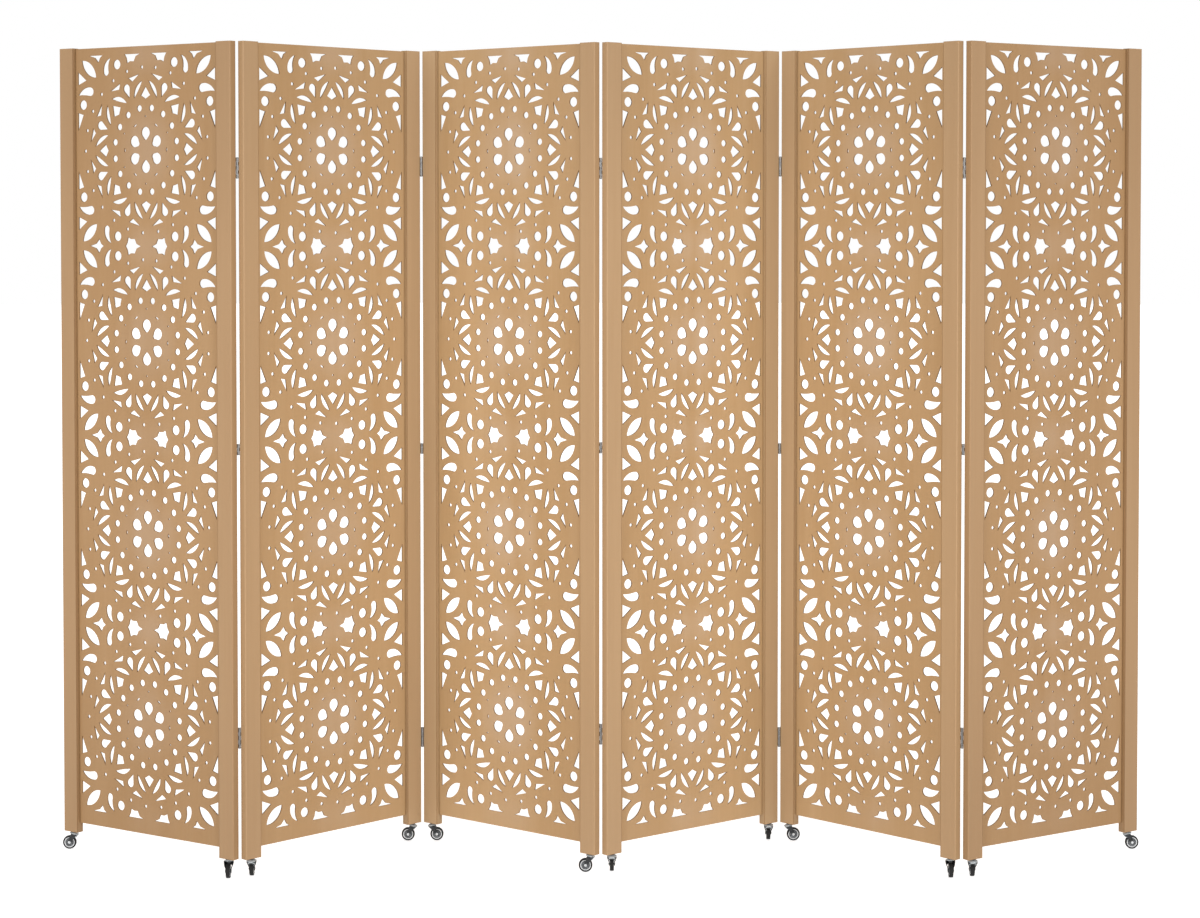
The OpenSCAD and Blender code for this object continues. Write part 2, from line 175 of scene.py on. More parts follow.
class Bench:
    """A material's node tree while it is being made."""

    def __init__(self, name: str) -> None:
        """Start an empty material.

        Args:
            name: The material's name.
        """
        self.material = bpy.data.materials.new(name)
        self.material.use_nodes = True
        self.tree = self.material.node_tree
        self.tree.nodes.clear()

    def node(
        self,
        kind: str,
        settings: dict[str, Any] | None = None,
        inputs: dict[Any, Any] | None = None,
        out: int | str = 0,
    ) -> Value:
        """Add any node.

        Args:
            kind: The node's type name.
            settings: Attributes to set first; the key stops holds a ramp's positions and colours.
            inputs: Values or links by a socket's name or number.
            out: Name or number of the output that is returned.

        Returns:
            The chosen output.
        """
        made = self.tree.nodes.new(kind)
        for key, value in (settings or {}).items():
            if key == "stops":
                self._set_stops(made.color_ramp, value)
            else:
                setattr(made, key, value)
        for key, value in (inputs or {}).items():
            socket = made.inputs[key]
            if isinstance(value, Value):
                self.tree.links.new(value.socket, socket)
            elif isinstance(value, (tuple, list)) and len(value) == 3 and socket.type == "RGBA":
                socket.default_value = (*value, 1.0)
            else:
                socket.default_value = value
        return Value(self, made.outputs[out])

    @staticmethod
    def _set_stops(ramp: Any, stops: Sequence[tuple[float, Colour]]) -> None:
        """Give a colour ramp its stops.

        Args:
            ramp: The node's ramp.
            stops: Position and colour of each stop.
        """
        while len(ramp.elements) < len(stops):
            ramp.elements.new(0.5)
        for element, (position, colour) in zip(ramp.elements, stops):
            element.position = position
            element.color = (*colour, 1.0)

    def mix(self, share: Any, first: Any, second: Any) -> Value:
        """Mix two colours.

        Args:
            share: 0 gives the first colour and 1 the second.
            first: A colour or a link.
            second: A colour or a link.

        Returns:
            The mixed colour.
        """
        return self.node(
            "ShaderNodeMix", {"data_type": "RGBA"}, {0: share, 6: first, 7: second}, out=2
        )

    def scaled(self, colour: Value, factor: Value) -> Value:
        """Multiply a colour by one number."""
        return self.node("ShaderNodeVectorMath", {"operation": "SCALE"}, {0: colour, "Scale": factor})

    def times(self, first: Value, second: Value) -> Value:
        """Multiply two colours."""
        return self.node("ShaderNodeVectorMath", {"operation": "MULTIPLY"}, {0: first, 1: second})

    def stretch(self, point: Value, factors: Sequence[float], shift: Sequence[float]) -> Value:
        """Multiply and shift a position, axis by axis.

        Args:
            point: The position.
            factors: Factor of each axis.
            shift: What is added after it.

        Returns:
            The new position.
        """
        return self.node(
            "ShaderNodeVectorMath",
            {"operation": "MULTIPLY_ADD"},
            {0: point, 1: tuple(factors), 2: tuple(shift)},
        )

    def noise(self, point: Value, scale: float, detail: float = 2.0, rough: float = 0.5,
              warp: float = 0.0) -> Value:
        """Add a noise texture.

        Args:
            point: Where it is read.
            scale: Its frequency.
            detail: Octaves.
            rough: Share that each octave keeps.
            warp: Distortion.

        Returns:
            Its value, about 0.5.
        """
        return self.node(
            "ShaderNodeTexNoise",
            {"noise_dimensions": "3D"},
            {"Vector": point, "Scale": scale, "Detail": detail, "Roughness": rough,
             "Distortion": warp},
        )

    def axes(self, point: Value) -> tuple[Value, Value, Value]:
        """Split a position.

        Args:
            point: The position.

        Returns:
            Its x, y and z.
        """
        first = self.node("ShaderNodeSeparateXYZ", inputs={0: point})
        outputs = first.socket.node.outputs
        return first, Value(self, outputs[1]), Value(self, outputs[2])

    def bump(self, height: Value, depth: float, strength: float) -> Value:
        """Turn a height into a normal.

        Args:
            height: Height, 0 to 1.
            depth: Size of that height in metres.
            strength: Share of the effect.

        Returns:
            The normal.
        """
        return self.node("ShaderNodeBump", inputs={"Strength": strength, "Distance": depth,
                                                   "Height": height})

    def finish(self, **sockets: Any) -> bpy.types.Material:
        """Close the material with one Principled shader.

        Args:
            sockets: Values by socket name, with _ for a space.

        Returns:
            The finished material.
        """
        shader = self.node(
            "ShaderNodeBsdfPrincipled",
            inputs={key.replace("_", " "): value for key, value in sockets.items()},
        )
        output = self.tree.nodes.new("ShaderNodeOutputMaterial")
        self.tree.links.new(shader.socket, output.inputs["Surface"])
        return self.material


# ---------------------------------------------------------------- places


@dataclass(frozen=True)
class Place:
    """Where an upright piece stands: its origin on the floor, in metres, and its turn about z."""

    x: float
    y: float
    turn: float

    def world(self, points: np.ndarray) -> np.ndarray:
        """Turn points by the place's angle about z, then move them to its origin.

        Args:
            points: Points in the piece's own frame, in metres, last axis x, y, z.

        Returns:
            The same points in the row frame.
        """
        c, s = math.cos(self.turn), math.sin(self.turn)
        x, y, z = points[..., 0], points[..., 1], points[..., 2]
        return np.stack([self.x + c * x - s * y, self.y + s * x + c * y, z], axis=-1)

    def own_point(self, bench: Bench) -> Value:
        """Bring Object coordinates into the piece's own frame.

        Args:
            bench: The material that reads them.

        Returns:
            The position in metres.
        """
        point = bench.node("ShaderNodeTexCoord", out="Object")
        return bench.node(
            "ShaderNodeMapping",
            {"vector_type": "TEXTURE"},
            {"Vector": point, "Location": (self.x, self.y, 0.0), "Rotation": (0.0, 0.0, self.turn)},
        )


@dataclass(frozen=True)
class Plan:
    """Places of the panels and casters, read from the frame's joints."""

    joints: dict[str, Any]
    stem_inset: float = 21.0
    half_thickness: float = 9.0

    def point(self, joint: str) -> np.ndarray:
        """Return where a joint lies, in metres."""
        return np.array(self.joints[joint]["pos_m"], float)

    def caster(self, number: int) -> Place:
        """Find the place of a caster, with x along its trail.

        Args:
            number: The caster, from 1 at the left.

        Returns:
            Its place at rest.
        """
        stem, axle = self.point(f"swivel_{number}"), self.point(f"spin_{number}")
        trail = axle - stem
        return Place(float(stem[0]), float(stem[1]), math.atan2(trail[1], trail[0]))

    def panel(self, number: int) -> Place:
        """Find the place of a panel, with x along its width from its left end and y towards its back.

        Args:
            number: The panel, from 1 at the left.

        Returns:
            Its place at rest.
        """
        left, right = self.point(f"swivel_{2 * number - 1}"), self.point(f"swivel_{2 * number}")
        along = (right - left)[:2]
        along = along / np.linalg.norm(along)
        across = np.array([-along[1], along[0]])
        corner = left[:2] - MM * (self.stem_inset * along + self.half_thickness * across)
        return Place(float(corner[0]), float(corner[1]), math.atan2(along[1], along[0]))


# ---------------------------------------------------------------- finishes


def own_xyz(bench: Bench) -> Value:
    """Read the position in the caster's own frame, in millimetres, which its meshes carry."""
    return bench.node("ShaderNodeAttribute", {"attribute_name": OWN_MM}, out="Vector")


class Cut(Enum):
    """Which faces of a wooden piece show cut wood."""

    ENDS = "ends"
    HOLES = "holes"


@dataclass(frozen=True)
class Grain:
    """Frequencies of the veneer's noises along x, y and z, in turns a metre."""

    figure: tuple[float, float, float] = (9.0, 9.0, 0.8)
    line: tuple[float, float, float] = (150.0, 150.0, 3.2)
    fine: tuple[float, float, float] = (1400.0, 1400.0, 26.0)
    pore: tuple[float, float, float] = (2600.0, 2600.0, 90.0)
    ring: tuple[float, float, float] = (90.0, 420.0, 2.0)


@dataclass(frozen=True)
class WoodFinish:
    """Satin veneer whose grain runs up the piece; its lengths are in millimetres."""

    name: str
    light: Colour
    dark: Colour
    cut: Colour
    cut_faces: Cut
    figure: float
    fibre: float
    rough: float
    face_front: float = 7.5
    face_back: float = 10.5
    top: float = 1800.0
    foot: float = 40.0
    middle: float = 254.0
    opening_half: float = 212.0
    # painted shade: colour of the shade that falls where the board sits in the stiles' recess
    crease_shade: Colour = shown(146, 106, 60)
    edge_span: tuple[float, float] = (2.4, 0.9)
    wall_span: tuple[float, float] = (0.6, 0.1)
    edge_shade: float = 0.95
    wall_relief: float = 0.72
    # painted light falloff: the veneer is darkened by the share fade with distance from its middle height,
    # towards the top and the foot
    falloff_from: float = 300.0
    lit_middle: float = 930.0
    fade: float = 0.1
    grain: Grain = Grain()
    # painted light: a colour cast, warmer at the screen's outer ends and cooler at the valley ends, that
    # offsets the warm light bounced between panels
    light_tint_from: float = 0.82
    light_tint_rise: float = 3.3
    outer_light_tint: Colour = (1.0, 0.98, 0.93)
    valley_light_tint: Colour = (1.0, 1.08, 1.15)

    def shaded(self, bench: Bench, x: Value, z: Value, cloud: Value, face: Value) -> Value:
        """Paint shade on the stile's edge beside the board, less on the wall that faces the opening.

        Args:
            bench: The material.
            x: Distance from the panel's left end.
            z: Height; not used here.
            cloud: A slow noise, about 0.5.
            face: The veneer's colour so far.

        Returns:
            The shaded colour.
        """
        across = abs(x - MM * self.middle)
        # painted shade: a dark line on the stile's front beside the board and, weaker, on its inner wall
        shade_near_stile = across.ramp(*(MM * (self.opening_half + past) for past in self.edge_span))
        wall = across.ramp(*(MM * (self.opening_half + past) for past in self.wall_span))
        share = shade_near_stile * (self.edge_shade + (cloud - 0.5) * 0.3) - wall * self.wall_relief
        return bench.mix(share, face, self.crease_shade)

    def cut_mask(self, x: Value, y: Value, z: Value) -> Value:
        """Find the cut faces from the position alone.

        Holes are cut where the point lies between the board's two faces; ends are cut at the
        stile's foot and top.

        Args:
            x: Distance from the panel's left end; not used.
            y: Distance back from the panel's front.
            z: Height.

        Returns:
            1 on a cut face, 0 elsewhere.
        """
        if self.cut_faces is Cut.HOLES:
            middle = MM * (self.face_front + self.face_back) / 2
            half = MM * (self.face_back - self.face_front) / 2
            return abs(y - middle).ramp(half - 0.02 * MM, half - 0.08 * MM)
        top = z.ramp(MM * (self.top - 0.4), MM * (self.top - 0.1))
        foot = z.ramp(MM * (self.foot + 0.4), MM * (self.foot + 0.1))
        return (top + foot).clamped()

    def make(self, place: Place, seed: float, ends: tuple[float, float]) -> bpy.types.Material:
        """Make the veneer for one piece.

        Broad figure is a slow noise drawn out along z, fibres are a fine one, and pores are the
        darkest part of a finer one still.

        Args:
            place: The panel's place.
            seed: A number that moves the grain from piece to piece.
            ends: Painted light: brightness put on the veneer at the panel's left and right ends, 1 for its
                own.

        Returns:
            The material.
        """
        bench = Bench(f"{self.name}_{seed:g}")
        point = place.own_point(bench)
        x, y, z = bench.axes(point)
        grain = self.grain
        broad = bench.noise(bench.stretch(point, grain.figure, (seed, 0.0, seed)), 1.0, 3.0, 0.55, 0.9)
        line = bench.noise(bench.stretch(point, grain.line, (0.0, seed, 0.0)), 1.0, 3.0, 0.6, 0.35)
        fine = bench.noise(bench.stretch(point, grain.fine, (seed, 0.0, 0.0)), 1.0, 2.0)
        pores = bench.noise(bench.stretch(point, grain.pore, (0.0, 0.0, seed)), 1.0, 1.0).ramp(0.66, 0.74)
        tone = (
            0.5 + (broad - 0.5) * (1.6 * self.figure) + (line - 0.5) * (1.1 * self.fibre)
            + (fine - 0.5) * (0.7 * self.fibre) - pores * (0.5 * self.fibre)
        ).clamped()
        # painted light: the veneer's brightness runs from one end's gain to the other's
        across = x * ((ends[1] - ends[0]) / (2 * MM * self.middle)) + ends[0]
        # painted light falloff towards the top and the foot
        falloff_share = abs(z - MM * self.lit_middle).ramp(MM * self.falloff_from, MM * self.lit_middle)
        face = self.shaded(bench, x, z, broad, bench.mix(tone, self.dark, self.light))
        # painted light: colour cast that follows the end gain
        share = ((across - self.light_tint_from) * self.light_tint_rise).clamped()
        light_tint = bench.mix(share, self.outer_light_tint, self.valley_light_tint)
        face = bench.scaled(bench.times(face, light_tint), across * (1.0 - falloff_share * self.fade))
        ring = (bench.noise(bench.stretch(point, grain.ring, (seed, 0.0, 0.0)), 1.0, 2.0) - 0.5) * 0.9
        cut_tone = bench.mix((ring + 0.5).clamped(), tuple(0.8 * c for c in self.cut), self.cut)
        mask = self.cut_mask(x, y, z)
        height = line * 0.5 + fine * 0.4 - pores * 0.6
        return bench.finish(
            Base_Color=bench.mix(mask, face, cut_tone),
            Roughness=(self.rough + (fine - 0.5) * 0.16 + mask * 0.25).clamped(),
            Normal=bench.bump(height, 0.0001, 0.35),
            Specular_IOR_Level=0.25,
        )


@dataclass(frozen=True)
class BoardFinish(WoodFinish):
    """Veneer of the lattice board: paler and rosier in each medallion, with painted shade beside the stiles.
    """

    rosy: Colour = shown(205, 170, 136)
    pattern_foot: float = 94.0
    tile: float = 422.0
    heart_span: tuple[float, float] = (115.0, 30.0)
    waist_across: tuple[float, float] = (100.0, 20.0)
    waist_up: tuple[float, float] = (150.0, 205.0)
    foot_shade_span: tuple[float, float] = (420.0, 60.0)
    side_span: tuple[float, float] = (4.5, 0.5)
    side_shade: float = 0.5

    def shaded(self, bench: Bench, x: Value, z: Value, cloud: Value, face: Value) -> Value:
        """Shade the board by its place on a tile of the pattern.

        The rosy share falls from a medallion's middle outwards, and again from the line between two
        medallions, and is cut back as painted shade towards the board's foot; painted shade grows over the
        last few millimetres before a stile.

        Args:
            bench: The material.
            x: Distance from the panel's left end.
            z: Height.
            cloud: A slow noise, about 0.5.
            face: The veneer's colour so far.

        Returns:
            The shaded colour.
        """
        across = abs(x - MM * self.middle)
        cell = ((z - MM * self.pattern_foot) / (MM * self.tile)).fraction()
        up = (cell - 0.5) * (MM * self.tile)
        reach = (across ** 2.0 + up * up) ** 0.5
        heart = reach.ramp(*(MM * end for end in self.heart_span))
        waist = across.ramp(*(MM * end for end in self.waist_across))
        waist = waist * abs(up).ramp(*(MM * end for end in self.waist_up))
        drift = (0.62 + (cloud - 0.5) * 1.5).clamped()
        # painted shade: the board is left darker and less rosy towards its foot
        low = z.ramp(*(MM * end for end in self.foot_shade_span)) * 0.45
        rosy = ((heart + waist * 0.8) * drift * (1.0 - low)).clamped()
        face = bench.mix(rosy, face, self.rosy)
        # painted shade: darker over the last few millimetres before each stile, beside the recess
        shade_near_stile = across.ramp(*(MM * (self.opening_half - short) for short in self.side_span))
        return bench.mix(shade_near_stile * self.side_shade, face, self.crease_shade)


@dataclass(frozen=True)
class MetalFinish:
    """Plated or painted metal with a fine cloudy surface; its grain is in turns a metre."""

    name: str
    colour: Colour
    worn: Colour
    metallic: float
    rough: float
    grain: float = 900.0
    brushed: float = 1.0

    def make(self) -> bpy.types.Material:
        """Make the metal from Object coordinates.

        Cloud is a mid noise, wear is its brighter part, and the brush marks are a noise drawn
        out along z.

        Returns:
            The material.
        """
        bench = Bench(self.name)
        point = bench.node("ShaderNodeTexCoord", out="Object")
        cloud = bench.noise(point, self.grain * 0.25, 3.0, 0.6)
        brush = (self.grain * 2, self.grain * 2, self.grain * 2 / self.brushed)
        marks = bench.noise(bench.stretch(point, brush, (0.0, 0.0, 0.0)), 1.0, 2.0)
        wear = cloud.ramp(0.5, 0.72)
        return bench.finish(
            Base_Color=bench.mix(wear * 0.8, self.colour, self.worn),
            Metallic=self.metallic,
            Roughness=(self.rough + (marks - 0.5) * 0.3 + (cloud - 0.5) * 0.2).clamped(),
            Normal=bench.bump(marks, 0.00006, 0.4),
        )


@dataclass(frozen=True)
class HoodFinish:
    """Plating on the caster's hood, brightened as a painted highlight, with painted shade in its hollow and
    where the boss comes through.
    """

    name: str = "hood_plating_highlight"
    # painted highlight: the hood's plating is made this bright to stand for the light it catches
    plate_highlight: Colour = shown(224, 229, 231)
    dull: Colour = shown(176, 184, 188)
    dark: Colour = shown(48, 50, 52)
    back: float = 2.0
    boss_span: tuple[float, float] = (6.4, 4.2)

    def make(self) -> bpy.types.Material:
        """Make the plating: painted shade darkens it towards the hood's middle, and a noise dulls it.

        Returns:
            The material.
        """
        bench = Bench(self.name)
        point = own_xyz(bench)
        x, y, z = bench.axes(point)
        reach = ((x + self.back) ** 2.0 + y * y) ** 0.5
        cloud = bench.noise(point, 0.35, 3.0, 0.6)
        marks = bench.noise(bench.stretch(point, (1.0, 1.0, 3.0), (0.0, 0.0, 0.0)), 2.4, 2.0)
        plate = bench.mix(cloud.ramp(0.35, 0.7), self.plate_highlight, self.dull)
        return bench.finish(
            # painted shade round the boss
            Base_Color=bench.mix(reach.ramp(*self.boss_span) * 0.8, plate, self.dark),
            Metallic=0.25,
            Roughness=(0.34 + (marks - 0.5) * 0.3).clamped(),
            Normal=bench.bump(marks, 0.00008, 0.3),
        )


@dataclass(frozen=True)
class TyreFinish:
    """Dark rubber with a dusty tread and a mould line round its middle."""

    name: str = "tyre_rubber"
    rubber: Colour = shown(16, 16, 17)
    dust: Colour = shown(58, 57, 55)
    radius: float = 15.0
    trail: float = 9.0
    tread: tuple[float, float] = (0.9, 0.1)
    seam_half: float = 0.25

    def make(self) -> bpy.types.Material:
        """Make the rubber: dust gathers where the tyre's radius is largest.

        Returns:
            The material.
        """
        bench = Bench(self.name)
        point = own_xyz(bench)
        x, y, z = bench.axes(point)
        from_axle = ((x - self.trail) ** 2.0 + (z - self.radius) ** 2.0) ** 0.5
        tread = from_axle.ramp(*(self.radius - deep for deep in self.tread))
        speckle = bench.noise(point, 1.6, 3.0, 0.65)
        dust = (tread * speckle.ramp(0.42, 0.7) * 0.7).clamped()
        seam = 1.0 - abs(y).ramp(0.0, self.seam_half)
        return bench.finish(
            Base_Color=bench.mix(dust, self.rubber, self.dust),
            Roughness=(0.72 + dust * 0.2 + (speckle - 0.5) * 0.2).clamped(),
            Specular_IOR_Level=0.3,
            Normal=bench.bump(speckle * 0.5 + seam * tread * 0.5, 0.0001, 0.5),
        )


@dataclass(frozen=True)
class SmoothFinish:
    """Plating or moulding of a small caster part, in two tones that a slow noise shares out."""

    name: str
    colour: Colour
    shade: Colour
    metallic: float
    rough: float

    def make(self) -> bpy.types.Material:
        """Make the finish: a slow noise shades it and a fine one roughens it.

        Returns:
            The material.
        """
        bench = Bench(self.name)
        point = own_xyz(bench)
        cloud = bench.noise(point, 0.3, 3.0, 0.6)
        grain = bench.noise(point, 3.5, 2.0)
        return bench.finish(
            Base_Color=bench.mix(cloud.ramp(0.4, 0.62), self.colour, self.shade),
            Metallic=self.metallic,
            Roughness=(self.rough + (grain - 0.5) * 0.2).clamped(),
            Normal=bench.bump(grain, 0.00005, 0.35),
        )


# ---------------------------------------------------------------- surfaces


def grid_quads(rows: int, cols: int, wrap_rows: bool, wrap_cols: bool) -> np.ndarray:
    """List the quads of a grid of points.

    Args:
        rows: Points along the first parameter.
        cols: Points along the second parameter.
        wrap_rows: Whether the last row joins the first.
        wrap_cols: Whether the last column joins the first.

    Returns:
        Corner numbers, four a quad.
    """
    i = np.arange(rows if wrap_rows else rows - 1)
    j = np.arange(cols if wrap_cols else cols - 1)
    a, b = np.meshgrid(i, j, indexing="ij")
    a2, b2 = (a + 1) % rows, (b + 1) % cols
    return np.stack([a * cols + b, a2 * cols + b, a2 * cols + b2, a * cols + b2], -1).reshape(-1, 4)


def revolve(profile: np.ndarray, steps: int) -> np.ndarray:
    """Turn a profile of (radius, height) pairs about z: x = r cos a, y = r sin a, z = h.

    Args:
        profile: The pairs, in order.
        steps: Copies round the axis.

    Returns:
        A grid of points, steps by pairs.
    """
    angle = np.arange(steps) * TAU / steps
    radius, height = profile[:, 0], profile[:, 1]
    return np.stack([
        np.outer(np.cos(angle), radius),
        np.outer(np.sin(angle), radius),
        np.broadcast_to(height, (steps, len(height))),
    ], axis=-1)


def bend_round(points: np.ndarray, axis: str, angle: float) -> np.ndarray:
    """Turn points about the x or y axis through the origin by the right-hand rule.

    Args:
        points: The points.
        axis: Either x or y.
        angle: Angle in degrees.

    Returns:
        The turned points.
    """
    c, s = math.cos(math.radians(angle)), math.sin(math.radians(angle))
    turn = {
        "x": np.array([[1, 0, 0], [0, c, -s], [0, s, c]]),
        "y": np.array([[c, 0, s], [0, 1, 0], [-s, 0, c]]),
    }[axis]
    return points @ turn.T


@dataclass
class Skin:
    """Surfaces gathered into one mesh; each keeps the number of its finish."""

    points: list[np.ndarray] = field(default_factory=list)
    quads: list[np.ndarray] = field(default_factory=list)
    finishes: list[np.ndarray] = field(default_factory=list)
    count: int = 0

    def add(self, grid: np.ndarray, wrap_rows: bool, wrap_cols: bool,
            finish: int | Callable[[np.ndarray], np.ndarray] = 0) -> None:
        """Add one grid surface.

        Args:
            grid: Points in millimetres, rows by columns by three.
            wrap_rows: Whether the last row joins the first.
            wrap_cols: Whether the last column joins the first.
            finish: Number of its finish, or a function of the quads' centres that gives it.
        """
        rows, cols = grid.shape[:2]
        flat = grid.reshape(-1, 3)
        quads = grid_quads(rows, cols, wrap_rows, wrap_cols)
        if callable(finish):
            kinds = finish(flat[quads].mean(axis=1))
        else:
            kinds = np.full(len(quads), finish)
        self.points.append(flat)
        self.quads.append(quads + self.count)
        self.finishes.append(kinds.astype(np.int32))
        self.count += len(flat)

    def make(self, name: str, place: Place, materials: Sequence[bpy.types.Material]) -> bpy.types.Object:
        """Make the object, with its place in its mesh and its own frame in an attribute.

        Args:
            name: The piece's name.
            place: Where it stands.
            materials: Finishes in the order of their numbers.

        Returns:
            The new object, closed and with its faces outwards.
        """
        own = np.concatenate(self.points)
        quads = np.concatenate(self.quads)
        mesh = bpy.data.meshes.new(name)
        mesh.from_pydata(place.world(own * MM), [], quads)
        mesh.attributes.new(OWN_MM, "FLOAT_VECTOR", "POINT").data.foreach_set(
            "vector", own.astype(np.float32).ravel())
        for material in materials:
            mesh.materials.append(material)
        mesh.polygons.foreach_set("material_index", np.concatenate(self.finishes))
        work = bmesh.new()
        work.from_mesh(mesh)
        bmesh.ops.remove_doubles(work, verts=work.verts, dist=2e-7)
        bmesh.ops.dissolve_degenerate(work, edges=work.edges, dist=1e-8)
        bmesh.ops.recalc_face_normals(work, faces=work.faces)
        work.to_mesh(mesh)
        work.free()
        mesh.shade_smooth()
        mesh.set_sharp_from_angle(angle=math.radians(38))
        made = bpy.data.objects.new(name, mesh)
        bpy.context.scene.collection.objects.link(made)
        return made


# ---------------------------------------------------------------- casters


@dataclass
class Caster:
    """One swivel caster, in millimetres, with its swivel axis on z and its trail along x."""

    number: int
    place: Place
    wheel_r: float = 15.0
    tyre_half: float = 4.5
    hub_r: float = 11.98
    trail: float = 9.0
    cheek_in: float = 5.0
    cheek_out: float = 6.6
    cheek_half: float = 4.8
    hood_r: float = 10.6
    hood_back: float = 2.0
    hood_z: float = 35.0
    hood_tilt: float = -9.0
    hood_bore: float = 2.6
    hood_rise: float = 2.9
    boss_top: float = 38.15
    shield_foot: float = 21.5
    shield_lift: float = 5.0
    shield_half: float = 10.3
    shield_reach: float = 10.9
    shield_taper: float = 0.0187
    shield_lean: float = 0.06
    shield_wall: float = 1.2
    shield_proud: float = 0.35
    rib_spread: float = 60.0
    rib_crown: float = 31.6
    rib_fall: float = 6.0
    rib_r: float = 0.75
    web_r: float = 7.2
    # painted light: from rim_r to lip_r the hub is painted bright as a highlight, and past lip_r dark in the
    # tyre's rubber as painted shade
    rim_r: float = 9.4
    lip_r: float = 11.3
    eye_r: float = 4.3
    steps: int = 48
    tyre_steps: int = 64
    hub_steps: int = 60
    rivet_steps: int = 32

    def _on_axle(self, grid: np.ndarray) -> np.ndarray:
        """Lay a surface turned about z onto the wheel's axle."""
        return bend_round(grid, "x", 90.0) + np.array([self.trail, 0.0, self.wheel_r])

    def tyre(self) -> np.ndarray:
        """Shape the tyre: a rounded band, its section a superellipse of power 0.55 on a flat seat.

        Returns:
            Points, steps round the axis by steps along the profile.
        """
        t = np.radians(np.linspace(-90, 90, 15))
        s, c = np.sin(t), np.cos(t)
        radius = self.wheel_r - 1.7 + 1.7 * np.abs(c) ** 0.55
        height = self.tyre_half * np.sign(s) * np.abs(s) ** 0.55
        seat = np.array([[self.hub_r + 0.1, self.tyre_half], [self.hub_r + 0.03, self.tyre_half - 0.25],
                         [self.hub_r + 0.03, 0.25 - self.tyre_half], [self.hub_r + 0.1, -self.tyre_half]])
        return revolve(np.concatenate([np.stack([radius, height], -1), seat]), self.tyre_steps)

    def hub(self) -> np.ndarray:
        """Shape the hub: boss, web and rim ring on each side of the wheel.

        Five ribs lift the web, by the third power of cos(5 times the angle) where that is positive,
        and fade out to both sides of the web's middle radius with the fourth power of the distance.

        Returns:
            Points, steps round the axis by steps along the profile.
        """
        side = np.array([[2.06, 4.3], [2.3, 4.4], [3.9, 4.4], [4.3, 4.15], [4.6, 3.1], [5.3, 2.6],
                         [7.2, 2.5], [9.0, 2.6], [9.7, 3.2], [10.0, 3.85], [10.5, 4.0], [11.4, 4.0],
                         [11.85, 3.8], [self.hub_r, 3.4]])
        profile = np.concatenate([side, side[::-1] * np.array([1.0, -1.0])])
        grid = revolve(profile, self.hub_steps)
        angle = np.arange(self.hub_steps) * TAU / self.hub_steps
        rib = np.clip(np.cos(5 * angle), 0, 1) ** 3
        web = np.exp(-(((profile[:, 0] - self.web_r) / 2.0) ** 4))
        grid[..., 2] += np.sign(profile[:, 1]) * 0.9 * np.outer(rib, web)
        return grid

    def rivet(self) -> np.ndarray:
        """Shape the axle rivet: a shank with a domed head at each end, closed on the axle.

        Returns:
            Points, steps round the axis by steps along the profile.
        """
        head = np.array([[0.0, 7.72], [1.2, 7.66], [2.2, 7.46], [2.9, 7.12], [3.15, 6.8], [3.1, 6.66],
                         [1.98, 6.64]])
        return revolve(np.concatenate([head, head[::-1] * np.array([1.0, -1.0])]), self.rivet_steps)

    def hood(self) -> np.ndarray:
        """Shape the hood: a shallow dome with a rolled lip, leaned forward, cut level at the boss.

        Its outer and inner face fall from the axis with the 2.4th power of the radius, and the lip
        is an arc that joins them.

        Returns:
            Points, steps round the axis by steps along the profile.
        """
        r = np.linspace(self.hood_bore, self.hood_r - 0.3, 12)
        top = 0.55 + self.hood_rise * (1 - (r / self.hood_r) ** 2.4)
        lip = np.radians(np.linspace(70, -110, 7))
        lip_r = self.hood_r - 0.62 + 0.6 * np.cos(lip)
        lip_h = -0.05 + 0.62 * np.sin(lip)
        inner_r = np.linspace(self.hood_r - 1.4, self.hood_bore, 9)
        inner = -0.75 + 2.3 * (1 - (inner_r / self.hood_r) ** 2.4)
        profile = np.concatenate([np.stack([r, top], -1), np.stack([lip_r, lip_h], -1),
                                  np.stack([inner_r, inner], -1)])
        grid = bend_round(revolve(profile, self.steps), "y", self.hood_tilt)
        grid = grid + np.array([-self.hood_back, 0.0, self.hood_z])
        grid[..., 2] = np.minimum(grid[..., 2], self.boss_top)
        return grid

    def on_shield(self, angle: np.ndarray, z: np.ndarray, inward: Any) -> np.ndarray:
        """Find points of the shield, whose level section is half an ellipse in front of the wheel.

        The section's half width and its reach to the front both shrink with the square of the drop
        below the hood, the reach faster, so that the shield leans back under the hood.

        Args:
            angle: Angle about the swivel axis, a half turn being straight ahead.
            z: Height.
            inward: Distance from the outer face.

        Returns:
            The points.
        """
        drop = self.hood_z - z
        wide = self.shield_half - self.shield_taper * drop ** 2 - inward
        front = self.shield_reach - self.shield_lean * drop ** 2 - inward
        deep = np.where(np.cos(angle) < 0, front, wide)
        return np.stack([np.maximum(deep, 0.3) * np.cos(angle), wide * np.sin(angle), z], -1)

    def shield(self) -> np.ndarray:
        """Shape the shield: a leaning shell under the hood, its foot rolled in and higher in front.

        Each row goes down the outer face and back up the inner one, and the first and the last row
        are drawn to a point.

        Returns:
            Points, rows round the front by steps round the shell.
        """
        angle = np.radians(np.linspace(75, 285, 57))[:, None]
        ahead = np.clip(-np.cos(angle), 0, 1)
        foot = self.shield_foot + self.shield_lift * ahead ** 0.8
        top = self.hood_z - 0.2 - 1.6 * ahead
        level = np.array([0.0, 0.15, 0.3, 0.45, 0.6, 0.75, 0.88, 0.95, 1.0])
        roll = np.array([0.0, 0.0, 0.0, 0.0, 0.0, 0.0, 0.1, 0.35, 0.7])
        z = top + (foot - top) * level
        turn = np.broadcast_to(angle, z.shape)
        outer = self.on_shield(turn, z, roll)
        inner = self.on_shield(turn, z, self.shield_wall)
        shell = np.concatenate([outer, inner[:, ::-1]], 1)
        ends = [shell[side].mean(axis=0) * np.ones((1, shell.shape[1], 1)) for side in (0, -1)]
        return np.concatenate([ends[0], shell, ends[1]])

